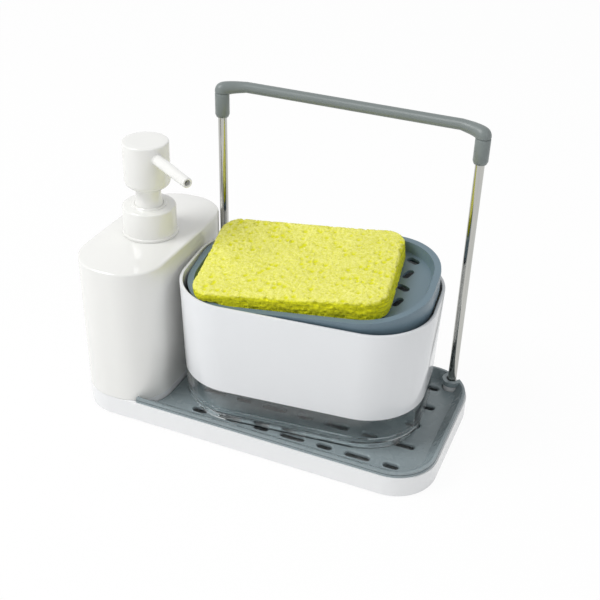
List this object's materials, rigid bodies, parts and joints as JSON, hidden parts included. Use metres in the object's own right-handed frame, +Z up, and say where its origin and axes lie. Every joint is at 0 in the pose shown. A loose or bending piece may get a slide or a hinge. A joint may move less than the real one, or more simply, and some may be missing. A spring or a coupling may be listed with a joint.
{
  "type": "soap pump caddy",
  "caption": "Countertop caddy with a hand pump soap bottle, a press-down soap dispenser under a sponge tray, a sponge, a drain plate and a towel rail on rods",
  "frame": {"origin": "centre of the base at the level of the table it stands on", "axes": "+X along the base to the right, from the hand pump bottle to the sponge dispenser, +Y to the back where the towel rail is, +Z up"},
  "size_m": [0.212, 0.1042, 0.1743],
  "materials": {
    "white_base": "smooth satin white moulding",
    "warm_white": "satin warm white moulding",
    "sleeve_white": "smooth glossy white",
    "grey_plate": "smooth grey with light worn edges",
    "rod_chrome": "polished",
    "bar_grey": "satin grey",
    "clear_plastic": "clear smooth plastic",
    "tray_blue": "smooth blue-grey",
    "sponge_yellow": "open cell cellulose sponge",
    "grey_rubber": "matt",
    "seal_rubber": "soft and matt",
    "spring_steel": "plain steel",
    "inner_plastic": "natural white moulding"
  },
  "bodies": {
    "base": {"base_tray": "white_base", "base_feet": "grey_rubber"},
    "rack": {"rack_rod_left": "rod_chrome", "rack_rod_right": "rod_chrome", "towel_bar": "bar_grey"},
    "plate": {"drain_plate": "grey_plate"},
    "bottle": {"bottle_body": "warm_white"},
    "pump": {"bottle_gasket": "seal_rubber", "pump_housing": "inner_plastic", "pump_dip_tube": "inner_plastic", "pump_ball": "spring_steel", "pump_spring": "spring_steel"},
    "collar": {"bottle_collar": "warm_white"},
    "plunger": {"pump_piston": "inner_plastic", "pump_stem": "warm_white"},
    "head": {"pump_head": "warm_white", "pump_spout": "warm_white"},
    "tank": {"soap_tank": "clear_plastic"},
    "sleeve": {"tank_sleeve": "sleeve_white", "pump_deck": "inner_plastic", "press_housing": "inner_plastic", "press_collar": "inner_plastic", "press_dip_tube": "inner_plastic", "press_ball": "spring_steel", "press_spring": "spring_steel"},
    "tray": {"sponge_tray": "tray_blue", "tray_nozzle": "seal_rubber", "press_stem": "inner_plastic", "press_piston": "inner_plastic"},
    "sponge": {"sponge": "sponge_yellow"}
  },
  "joints": [
    {"name": "rack_lift", "type": "slide", "parent": "base", "child": "rack", "axis": [0, 0, 1], "range_m": [0, 0.03]},
    {"name": "plate_lift", "type": "slide", "parent": "base", "child": "plate", "axis": [0, 0, 1], "range_m": [0, 0.01]},
    {"name": "bottle_lift", "type": "slide", "parent": "base", "child": "bottle", "axis": [0, 0, 1], "range_m": [0, 0.05]},
    {"name": "pump_rise", "type": "slide", "parent": "bottle", "child": "pump", "axis": [0, 0, 1], "range_m": [0, 0.009]},
    {"name": "collar_turn", "type": "hinge", "parent": "pump", "child": "collar", "pos_m": [-0.0804, 0, 0.1], "axis": [0, 0, 1], "range_deg": [0, 1080]},
    {"name": "pump_press", "type": "slide", "parent": "pump", "child": "plunger", "axis": [0, 0, -1], "range_m": [0, 0.01], "stiffness_N_per_m": 500, "springref_m": -0.004, "deforming": ["pump_spring"]},
    {"name": "head_turn", "type": "hinge", "parent": "plunger", "child": "head", "pos_m": [-0.0804, 0, 0.13], "axis": [0, 0, 1], "continuous": true},
    {"name": "tank_lift", "type": "slide", "parent": "plate", "child": "tank", "axis": [0.45, -0.45, 0.7714], "range_m": [0, 0.12]},
    {"name": "sleeve_lift", "type": "slide", "parent": "tank", "child": "sleeve", "axis": [0, 0, 1], "range_m": [0, 0.025]},
    {"name": "tray_press", "type": "slide", "parent": "sleeve", "child": "tray", "axis": [0, 0, -1], "range_m": [0, 0.01], "stiffness_N_per_m": 600, "springref_m": -0.006, "deforming": ["press_spring"]},
    {"name": "sponge_lift", "type": "slide", "parent": "tray", "child": "sponge", "axis": [0, 0, 1], "range_m": [0, 0.03]}
  ],
  "couplings": [
    {"joint": "collar_turn", "follows": "pump_rise", "rad_per_m": 2094.4}
  ]
}
